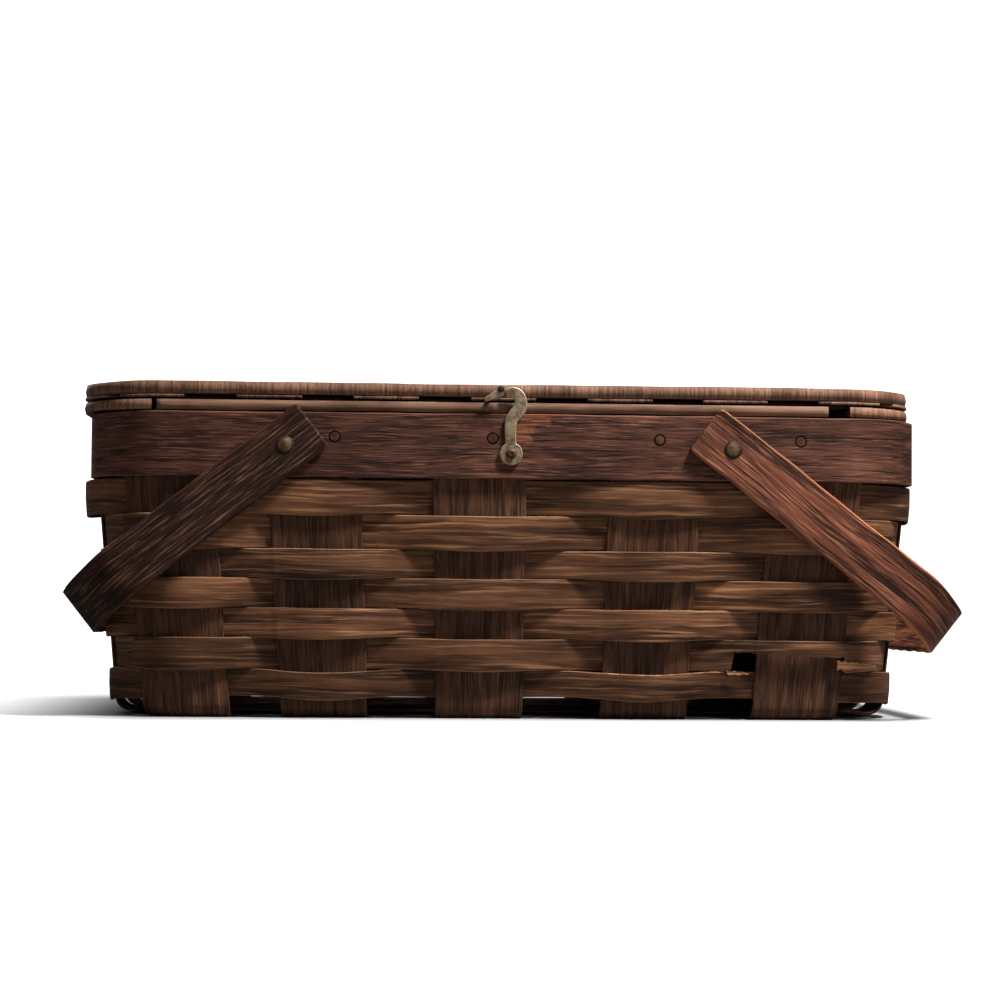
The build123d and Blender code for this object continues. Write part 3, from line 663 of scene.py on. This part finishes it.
def make_splinter(name, start, end, z0, z1, offset, seed):
    """A torn sliver of a weaver: a short strip along the ring that narrows to a ragged point."""
    place = np.linspace(start, end, 24)
    share = (place - start) / (end - start)
    middle = (z0 + z1) / 2 + 0.3 * mm * np.sin(share * 17 + seed)
    half = (z1 - z0) / 2 * (1 - 0.75 * share**2) * (1 + 0.2 * np.sin(share * 41 + seed))
    steps = across_steps(0.5, 0.06, 3)
    z = middle[:, None] + steps * 2 * half[:, None]
    mid, normal = ring(place[:, None], z)
    mid = mid + normal * (offset + 0.8 * mm * share**2)[:, None, None]
    strip(name, mid, normal, 0.9 * mm, place - start, z - z0, body="basket", slot="weaver_splint",
          material=weaver_wood, raw=1.0, shift=seed, rounding=0.2 * mm)


make_splinter("splinter_long", 0.2020, 0.2270, 29.6 * mm, 34.6 * mm, 5.2 * mm, 0.4)
make_splinter("splinter_short", 0.136, 0.1495, 26.4 * mm, 28.6 * mm, 2.9 * mm, 1.9)


# Rim bands, closed rings round the stake ends

def make_band(name, outward, seed):
    """A bent board: the ring moved out by its layer, its top and bottom edges a little uneven. Its
    ends meet at the middle of the back."""
    along = np.arange(BAND_STATIONS) * RING / BAND_STATIONS
    place = along + RING / 2
    steps = across_steps(0.5, 0.02, 7)
    turn = place / RING * 2 * pi
    low = BAND_LOW + 0.3 * mm + wander(turn, seed, 0.3 * mm)
    high = BAND_TOP - 0.35 * mm + wander(turn, seed + 4, 0.35 * mm)
    z = (low + high)[:, None] / 2 + steps * (high - low)[:, None]
    mid, normal = ring(place[:, None], np.maximum(z, WEAVE_TOP))
    mid = mid + normal * outward
    mid[..., 2] = z
    strip(name, mid, normal, BAND_T, along, steps * (BAND_TOP - BAND_LOW), closed=RING, body="basket",
          slot="rim_wood", material=band_wood, replaces=(name,), shift=seed, rounding=0.7 * mm,
          tone=(1 + 0.12 * np.sin(turn * 4 + seed))[:, None])


make_band("rim_band_outer", BAND_OUT - BAND_T / 2, 0.4)
make_band("rim_band_inner", -BAND_OUT + BAND_T / 2, 2.9)


# Nails, rivets and the latch's screw

BOTH = (-1, 1)
face_x, face_y = BODY_L / 2 + BAND_OUT, BODY_D / 2 + BAND_OUT
nail_places = [(x, side * face_y, NAIL_Z) for x in FRONT_NAILS for side in BOTH]
nail_places += [(side * face_x, y, NAIL_Z) for y in SIDE_NAILS for side in BOTH]
nail_normals = [(0, side, 0) for _ in FRONT_NAILS for side in BOTH]
nail_normals += [(side, 0, 0) for _ in SIDE_NAILS for side in BOTH]
nail_profile = np.array([(1.0, 0.25), (2.4, 0.22), (3.1, 0.16), (3.5, 0.06), (3.75, -0.15),
                         (3.5, -0.4), (1.3, -0.45), (1.3, -9.1)]) * mm
turned("rim_nails", nail_places, nail_normals, nail_profile, body="basket", slot="nail_steel",
       material=nail_steel, replaces=("rim_nails",))

rivet_low, rivet_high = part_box("handle_rivets")
rivet_y = rivet_high.y - 1.6 * mm
inner_y = BODY_D / 2 - BAND_OUT - 0.8 * mm
pin_end = rivet_y - inner_y
rivet_profile = np.array([(0.9, 1.6), (2.1, 1.48), (3.4, 1.1), (4.6, 0.55), (5.2, 0.1), (5.3, 0),
                          (2.5, 0)]) * mm
rivet_tail = np.array([(2.5 * mm, 0.8 * mm - pin_end), (3.7 * mm, 0.8 * mm - pin_end),
                       (3.5 * mm, -pin_end)])
rivet_x = rivet_high.x - 5.3 * mm
rivet_z = (rivet_low.z + rivet_high.z) / 2
turned("handle_rivets", [(x, side * rivet_y, rivet_z) for x in (-rivet_x, rivet_x) for side in BOTH],
       [(0, side, 0) for _ in BOTH for side in BOTH], np.concatenate([rivet_profile, rivet_tail]),
       body="basket", slot="brass", material=rivet_brass, replaces=("handle_rivets",))

screw_low, screw_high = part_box("latch_screw")
screw = (screw_low + screw_high) / 2
screw.y = screw_low.y + 1.6 * mm
screw_profile = np.array([(0.5, 1.0), (0.9, 1.55), (1.7, 1.4), (2.6, 0.9), (3.2, 0.25), (3.3, 0),
                          (1.8, 0)]) * mm
screw_tail = [(1.8 * mm, screw.y - screw_high.y)]
turned("latch_screw", [screw], [(0, -1, 0)], np.concatenate([screw_profile, screw_tail]),
       body="basket", slot="nail_steel", material=rust, replaces=("latch_screw",))


# Hook latch

def smooth_line(at, places, values):
    """A smooth line through values: straight interpolation, averaged over a short window."""
    return np.mean([np.interp(at + w, places, values) for w in np.linspace(-0.05, 0.05, 9)], axis=0)


def make_hook():
    """The cast hook: a curved stem along stations of x and z from the screw and of its width, and a
    ring round the screw.

    The stem's section is a flat bar with a crowned face; the ring is a flat strip turned about the
    screw, with its rims drawn in."""
    low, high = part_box("latch_hook")
    thick, middle_y = high.y - low.y, (high.y + low.y) / 2
    stations = np.array([(-0.3, 4.5, 6.2), (-0.5, 10, 6.5), (-0.6, 15.5, 6.8), (-0.1, 19.6, 7.2),
                         (2.0, 22.8, 7.7), (4.7, 25.8, 7.6), (5.7, 29.6, 7.2), (5.0, 33.2, 6.9),
                         (2.6, 35.6, 6.6), (-0.4, 36.0, 6.0), (-3.6, 34.8, 4.6)])
    share, places = np.linspace(0, 1, 64), np.linspace(0, 1, len(stations))
    path = np.stack([smooth_line(share, places, column) for column in stations.T], 1) * mm
    way = np.gradient(path[:, :2], axis=0)
    way /= np.linalg.norm(way, axis=1, keepdims=True)
    side = np.stack([way[:, 1], -way[:, 0]], 1)
    steps = across_steps(0.5, 0.09, 5)
    flat = path[:, None, :2] + side[:, None] * steps[None, :, None] * path[:, None, 2:]
    top = high.z - 0.05 * mm - screw.z
    mid = np.stack([screw.x + flat[..., 0], np.full(flat.shape[:2], middle_y),
                    screw.z + np.minimum(flat[..., 1], top)], -1)
    thickness = thick * (1 - 0.3 * (2 * steps) ** 2)
    strip("latch_hook", mid, [0, -1.0, 0], thickness, run_of(path[:, :2]), steps * 7 * mm,
          body="latch", slot="brass", material=brass, replaces=("latch_hook",), rounding=0.35 * mm)
    turn = np.arange(40) / 40 * 2 * pi
    radius = np.array([2.0, 2.3, 2.9, 3.8, 4.9, 5.8, 6.3, 6.7]) * mm
    crown = thick * (1 - 0.35 * ((radius - 4.3 * mm) / (2.4 * mm)) ** 2)
    mid = np.stack([screw.x + radius * np.cos(turn)[:, None], np.full((40, 8), middle_y),
                    screw.z + radius * np.sin(turn)[:, None]], -1)
    strip("latch_eye", mid, [0, -1.0, 0], crown, turn * 5 * mm, radius, closed=2 * pi * 5 * mm,
          body="latch", slot="brass", material=brass)


make_hook()


def make_catch():
    """The catch on the lid's front: a tongue that narrows to a blunt point, crowned across, with a
    rivet's head in its wide end. It lies in front of the hook's plane, and the stem behind its narrow
    end carries it, so the hook's tip swings in behind it."""
    low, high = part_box("lid_catch")
    share = np.linspace(0, 1, 24)
    x = high.x - 0.2 * mm - share * (high.x - low.x - 0.4 * mm)
    z = (190.6 - 5.4 * share) * mm
    width = (5.8 - 3.4 * share**1.5) * mm
    steps = across_steps(0.5, 0.09, 5)
    crown = (2 * steps * (1 - 0.4 * share[:, None])) ** 2
    y = low.y + (0.75 + 0.35 * crown + 0.45 * share[:, None]) * mm
    mid = np.stack([np.broadcast_to(x[:, None], y.shape), y, z[:, None] + steps * width[:, None]], -1)
    strip("lid_catch", mid, [0, -1.0, 0], 1.3 * mm, share * 11 * mm, steps * 5 * mm, body="lid",
          slot="brass", material=brass, replaces=("lid_catch",))
    head = np.array([(1.5, 0.9), (1.9, 0.5), (1.9, -1.0), (1.4, -1.2), (1.4, -1.7)]) * mm
    turned("catch_rivet", [(high.x - 1.6 * mm, low.y + 0.4 * mm, 191.6 * mm)], [(0, -1, 0)], head,
           body="lid", slot="brass", material=rivet_brass)
    stem = np.array([(1.0, 0.3), (1.4, 0.0), (1.4, -6.2), (1.0, -6.4)]) * mm
    turned("catch_stem", [(high.x - 7.7 * mm, low.y + 1.3 * mm, 186.9 * mm)], [(0, -1, 0)], stem,
           body="lid", slot="brass", material=brass)


make_catch()


# Swing handles

REST = radians(38)
HANDLE_T, HANDLE_W, HANDLE_BEND = 4.5 * mm, 32 * mm, 35 * mm
PAST_PIVOT, END_ROUND = 20 * mm, 2 * mm


def make_handle(name, side, material, seed, droop, sag):
    """A flat splint bent into a wide U: two straight arms and a cross part, joined by round bends.

    It is worked out as a path in the handle's own plane, with its width square to that plane. The
    pivots' place comes from the rivets, and the reach from the CAD handle's box. Both edges wander,
    the arms' ends are rounded by narrowing over their last few millimetres, and the cross part sags a
    little by a smooth step round the bends."""
    low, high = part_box(name)
    pivot_x = side * rivet_x
    tip = side * (high.x if side > 0 else low.x) - rivet_x
    reach = (tip - HANDLE_W / 2 * sin(REST)) / cos(REST) - HANDLE_T / 2
    arm_y = high.y - HANDLE_T / 2
    bend = HANDLE_BEND + HANDLE_T / 2
    arm = np.linspace(-PAST_PIVOT, reach - bend, 90)
    turn = np.linspace(0, pi / 2, 26)[1:]
    across = np.linspace(arm_y - bend, 0, 40)[1:]
    half_x = np.concatenate([arm, reach - bend + bend * np.sin(turn), 0 * across + reach])
    half_y = np.concatenate([0 * arm + arm_y, arm_y - bend + bend * np.cos(turn), across])
    n_x = np.concatenate([0 * arm, np.sin(turn), 0 * across + 1])
    n_y = np.concatenate([0 * arm + 1, np.cos(turn), 0 * across])
    path_x, path_y, n_x, n_y = (np.concatenate([sign * half, half[-2::-1]]) for sign, half in
                                ((1, half_x), (-1, half_y), (1, n_x), (-1, n_y)))
    along = run_of(np.stack([path_x, path_y], 1))
    steps = across_steps(HANDLE_W / 2, 1.5 * mm, 11)
    end = np.minimum(along, along[-1] - along)
    wide = 1 - 0.07 * np.clip(1 - end / END_ROUND, 0, 1) ** 2
    long_waves, short_waves = 1 + np.sin(along * 61 + seed), 1 + np.sin(along * 173 + seed)
    worn_top = 0.175 * mm * long_waves + 0.125 * mm * short_waves
    frayed = (0.5 + 0.5 * np.sin(along * 260 + seed * 3)) * step(np.abs(path_x), reach * 0.9, reach)
    worn_low = worn_top[::-1] + droop * frayed
    sagged = step(np.abs(path_x), reach - 0.9 * bend, reach)
    w = steps[None, :] * wide[:, None] - sag * sagged[:, None]
    part = steps[None, :] / HANDLE_W * 2
    w -= worn_top[:, None] * np.clip(part, 0, 1) ** 3
    w += worn_low[:, None] * np.clip(-part, 0, 1) ** 3
    out_dir = np.array([side * cos(REST), 0, -sin(REST)])
    wide_dir = np.array([side * sin(REST), 0, cos(REST)])
    mid = (np.array([pivot_x, 0, rivet_z]) + path_x[:, None, None] * out_dir + w[..., None] * wide_dir
           + path_y[:, None, None] * np.array([0, 1.0, 0]))
    normal = n_x[:, None] * out_dir + n_y[:, None] * np.array([0, 1.0, 0])
    tone = 1 + 0.14 * np.sin(along * 21 + seed) * step(along, 0, 0.05)
    strip(name, mid, normal[:, None], HANDLE_T, along, steps, body=name.split("_")[1] + "_handle",
          slot="handle_wood", material=material, replaces=(name,), shift=seed, rounding=0.9 * mm,
          tone=tone[:, None])


make_handle("handle_left", -1, shaded_left_wood, 0.13, 0.2 * mm, 2.6 * mm)
make_handle("handle_right", 1, lit_right_wood, 1.71, 0.8 * mm, 1.8 * mm)


# Lid

lid_low, lid_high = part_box("lid_frame_top")
LID_X, LID_Y = (lid_low.x + lid_high.x) / 2, (lid_low.y + lid_high.y) / 2
LID_HX, LID_HY, LID_CORNER = (lid_high.x - lid_low.x) / 2, (lid_high.y - lid_low.y) / 2, 55 * mm


LID_FLATS = np.array([LID_HX, LID_HY, LID_HX, LID_HY]) - LID_CORNER
LID_REACHES = np.array([LID_HY, LID_HX, LID_HY, LID_HX])
LID_RING = 2 * LID_FLATS.sum() + 2 * pi * LID_CORNER


def make_lid_frame():
    """The upper frame: a flat ring 32 mm wide along the lid's rounded outline, whose ends meet at the
    middle of the back. Its sawn edge and its top both wander a little."""
    along = np.arange(LID_STATIONS) * LID_RING / LID_STATIONS
    turn = along / LID_RING * 2 * pi
    outline, out = rounded(along + LID_RING / 2, LID_FLATS, LID_REACHES, LID_CORNER)
    widths = np.array([32, 30.4, 29, 24, 17, 10, 4, 1.6, 0.0]) * mm
    edge = 0.3 * mm + wander(turn, 3, 0.25 * mm)
    inward = widths + edge[:, None] * (widths < 20 * mm)
    xy = outline[:, None] - out[:, None] * inward[..., None] + np.array([LID_X, LID_Y])
    top = lid_high.z - 0.35 * mm + wander(turn, 5, 0.35 * mm)
    low = lid_low.z + 0.15 * mm + wander(turn, 8, 0.15 * mm)
    z = np.broadcast_to(((top + low) / 2)[:, None], inward.shape)
    mid = np.concatenate([xy, z[..., None]], -1)
    strip("lid_frame_top", mid, [0.0, 0, 1], (top - low)[:, None], along, widths, closed=LID_RING,
          body="lid", slot="lid_wood", material=end_wood, replaces=("lid_frame_top",),
          rounding=0.8 * mm, tone=(1 + 0.1 * np.sin(turn * 5))[:, None])


def lid_reach(along, lengthwise):
    """How far the lid's rounded outline reaches each side of its middle, and that middle: the half
    width less the corner, plus the corner circle's height at the distance past its start."""
    half_a, half_b = (LID_HX, LID_HY) if lengthwise else (LID_HY, LID_HX)
    mid_a, mid_b = (LID_X, LID_Y) if lengthwise else (LID_Y, LID_X)
    past = np.clip(np.abs(along - mid_a) - (half_a - LID_CORNER), 0, LID_CORNER * 0.999)
    return half_b - LID_CORNER + np.sqrt(LID_CORNER**2 - past**2), mid_b


def lid_strip(name, along, low, high, z, thickness, lengthwise, **kw):
    """A flat strip of the lid: stations along X or Y, each reaching across from low to high."""
    high = np.maximum(high, low + 0.2 * mm)
    steps = (across_steps(0.5, 0.03, 5) + 0.5)[None, :]
    b = low[:, None] + steps * (high - low)[:, None]
    a = np.broadcast_to(along[:, None], b.shape)
    z = np.broadcast_to(z[:, None], b.shape)
    mid = np.stack([a, b, z] if lengthwise else [b, a, z], -1)
    strip(name, mid, [0.0, 0, 1], thickness, along - along[0], b - b[0, 0], body="lid", **kw)


def cut_board(name, lengthwise, seed):
    """A board of the lid's lower layer, cut to the lid's rounded outline; its lower face wanders."""
    low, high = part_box(name)
    a, b = (0, 1) if lengthwise else (1, 0)
    along = np.linspace(low[a], high[a], 140)
    reach, middle = lid_reach(along, lengthwise)
    lift = 0.1 * mm * (1 + np.sin(along * 37 + seed * 5)) * (1 + np.sin(along * 91 + seed))
    bottom = low.z + 0.1 * mm + lift
    lid_strip(name, along, np.maximum(low[b], middle - reach), np.minimum(high[b], middle + reach),
              (bottom + high.z) / 2, (high.z - bottom)[:, None], lengthwise, slot="lid_wood",
              material=lid_wood if lengthwise else end_wood, replaces=(name,), shift=seed,
              rounding=0.6 * mm, tone=1 + 0.12 * sin(seed * 9))


make_lid_frame()
for number, name in enumerate(("lid_end_left", "lid_end_right", "lid_rail_front", "lid_rail_back")):
    cut_board(name, "rail" in name, number * 0.57)


# Distances from a crossed splint's edge over which a splint dips, and from its own end over which
# a cross splint settles under the frame
DIP_FROM, DIP_TO = -5 * mm, 1 * mm
SETTLE_FROM, SETTLE_TO = 4 * mm, 15 * mm


def woven(name, centres, width, low_a, high_a, crossed, crossed_width, lengthwise, first):
    """One set of the lid's splints. A strip's level is 1, falling by a smooth step to -1 where it
    goes under another; a cross splint's ends lie just below the frame."""
    for number, centre in enumerate(centres):
        along = np.linspace(low_a, high_a, 260)
        sign = np.array([1.0 if (number + k + first) % 2 else -1.0 for k in range(len(crossed))])
        gap = np.abs(along[:, None] - crossed) - crossed_width / 2
        level = 1 - 2 * ((sign < 0) * (1 - step(gap, DIP_FROM, DIP_TO))).max(1)
        if not lengthwise:
            end = np.minimum(along - low_a, high_a - along)
            level += (0.55 - level) * (1 - step(end, SETTLE_FROM, SETTLE_TO))
        z = cross_low.z + SPLINT_T + level * SPLINT_T / 2 * 0.98
        reach, middle = lid_reach(along, lengthwise)
        ragged = 0.25 * mm * np.sin(along * 83 + number * 2)
        low = np.maximum(centre - width / 2 + ragged, middle - reach + 1 * mm)
        high = np.minimum(centre + width / 2 + ragged, middle + reach - 1 * mm)
        lid_strip(f"{name}_{number + 1}", along, low, high, z, SPLINT_T * 0.96, lengthwise,
                  slot="stake_splint", material=lid_wood, replaces=(name,) if number == 0 else (),
                  shift=number * 0.37 + first, tone=1 + 0.13 * sin(number * 2.9 + first))


cross_low, cross_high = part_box("lid_splints_cross")
long_low, long_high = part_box("lid_splints_long")
CROSS, CROSS_W = LID_X + (np.arange(7) - 3) * 68 * mm, 38 * mm
LONG, LONG_W = LID_Y + (np.arange(6) - 2.5) * 42.88 * mm, 40 * mm
woven("lid_splints_cross", CROSS, CROSS_W, cross_low.y, cross_high.y, LONG, LONG_W, False, 1)
woven("lid_splints_long", LONG, LONG_W, long_low.x, long_high.x, CROSS, CROSS_W, True, 0)


# Materials for the pieces that stay as the CAD made them
for name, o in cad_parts.items():
    if not o.hide_render:
        o.data.materials.clear()
        o.data.materials.append(brass if name.startswith("latch") else hinge_steel)


# Floor, light and camera

# Half the sides of the floor's part under the basket, past which its painted contact shadow fades
# and it grows white; where the backdrop's round starts, and its radius
UNDER_X, UNDER_Y = 0.20, 0.10
ROUND_Y, ROUND = 1.2, 0.8


def make_floor():
    """A pale floor that runs up into a backdrop by a wide round. It looks white to the camera, except
    close round the basket, where its glow fades so the light that falls there shows, and where the
    grey
    the camera sees is painted darker: a soft painted contact shadow over the real one."""
    turn = np.linspace(0, pi / 2, 16)
    y = np.concatenate([[-3.0], ROUND_Y + ROUND * np.sin(turn), [ROUND_Y + ROUND]])
    z = np.concatenate([[0.0], ROUND - ROUND * np.cos(turn), [3.0]])
    points = np.stack([np.tile([-4.0, 4.0], len(y)), np.repeat(y, 2), np.repeat(z, 2)], 1)
    first = np.arange(len(y) - 1)[:, None] * 2
    mesh = bpy.data.meshes.new("floor")
    mesh.from_pydata(points.tolist(), [], (first + np.array([0, 1, 3, 2])).tolist())
    mesh.shade_smooth()
    floor = bpy.data.objects.new("floor", mesh)
    bpy.context.scene.collection.objects.link(floor)
    material = bpy.data.materials.new("pale_floor_with_painted_shadow")
    material.use_nodes = True
    tree = material.node_tree
    shader = tree.nodes["Principled BSDF"]
    x, y, z = node(tree, "SeparateXYZ", {0: node(tree, "TexCoord").outputs["Object"]}).outputs
    apart = [maths(tree, "MAXIMUM", maths(tree, "SUBTRACT", maths(tree, "ABSOLUTE", v), half), 0.0)
             for v, half in ((x, UNDER_X), (y, UNDER_Y))]
    far = node(tree, "VectorMath", {0: joined(tree, *apart)}, operation="LENGTH").outputs["Value"]
    seen = node(tree, "LightPath").outputs["Is Camera Ray"]
    # Painted contact shadow: the grey that the camera sees is 0.3 close round the basket and 0.8
    # further out.
    pale = between(tree, far, 0.0, 0.12, 0.3, 0.8)
    shown = blend(tree, seen, (0.25, 0.25, 0.25, 1), grey(tree, pale))
    tree.links.new(shown, shader.inputs["Base Color"])
    shader.inputs["Roughness"].default_value = 0.9
    shader.inputs["Specular IOR Level"].default_value = 0.0
    shader.inputs["Emission Color"].default_value = (1, 1, 1, 1)
    # The glow fades close round the basket, so the real shadow shows there, and with it a painted
    # grey pool where no shadow falls.
    glow = times(tree, seen, between(tree, far, 0.02, 0.16, 0.0, 1.0))
    tree.links.new(glow, shader.inputs["Emission Strength"])
    mesh.materials.append(material)


make_floor()


def lamp(name, place, target, size, power):
    """A soft square lamp that faces a point."""
    light = bpy.data.lights.new(name, "AREA")
    light.size, light.energy = size, power
    made = bpy.data.objects.new(name, light)
    bpy.context.scene.collection.objects.link(made)
    made.location = place
    made.rotation_euler = (Vector(target) - Vector(place)).to_track_quat("-Z", "Y").to_euler()


lamp("key", (0.50, -0.52, 1.08), (0.1, -0.1, 0.12), 0.2, 24)
lamp("fill", (0.6, -1.8, 0.4), (0, 0, 0.1), 1.0, 1.6)
lamp("back", (-0.7, 1.6, 1.0), (0, 0, 0.1), 1.0, 12)

world = bpy.data.worlds.new("studio")
bpy.context.scene.world = world
world.use_nodes = True
tree = world.node_tree
seen = node(tree, "LightPath")
glossy = times(tree, seen.outputs["Is Glossy Ray"], 0.4)
bright = maths(tree, "MAXIMUM", seen.outputs["Is Camera Ray"], glossy)
tree.links.new(maths(tree, "MAXIMUM", bright, 0.07), tree.nodes["Background"].inputs["Strength"])
tree.nodes["Background"].inputs["Color"].default_value = (1, 1, 1, 1)

# The camera's place, the point on the front that it faces, how wide it sees there, and its roll
VIEW_X, VIEW_DISTANCE, VIEW_HEIGHT = -0.080, 1.42, 0.070
MIDDLE_X, MIDDLE_Z, WIDTH, ROLL = -0.0053, 0.1279, 0.5800, radians(0.45)
camera_data = bpy.data.cameras.new("camera")
camera = bpy.data.objects.new("camera", camera_data)
bpy.context.scene.collection.objects.link(camera)
bpy.context.scene.camera = camera
camera.location = (VIEW_X, FRONT - VIEW_DISTANCE, VIEW_HEIGHT)
aim = Vector((MIDDLE_X, FRONT, MIDDLE_Z))
look = (aim - camera.location).to_track_quat("-Z", "Y").to_matrix()
camera.rotation_euler = (look @ Matrix.Rotation(ROLL, 3, "Z")).to_euler()
camera_data.sensor_width = 36
camera_data.lens = camera_data.sensor_width * (aim - camera.location).length / WIDTH
bpy.context.scene.view_settings.view_transform = "Standard"
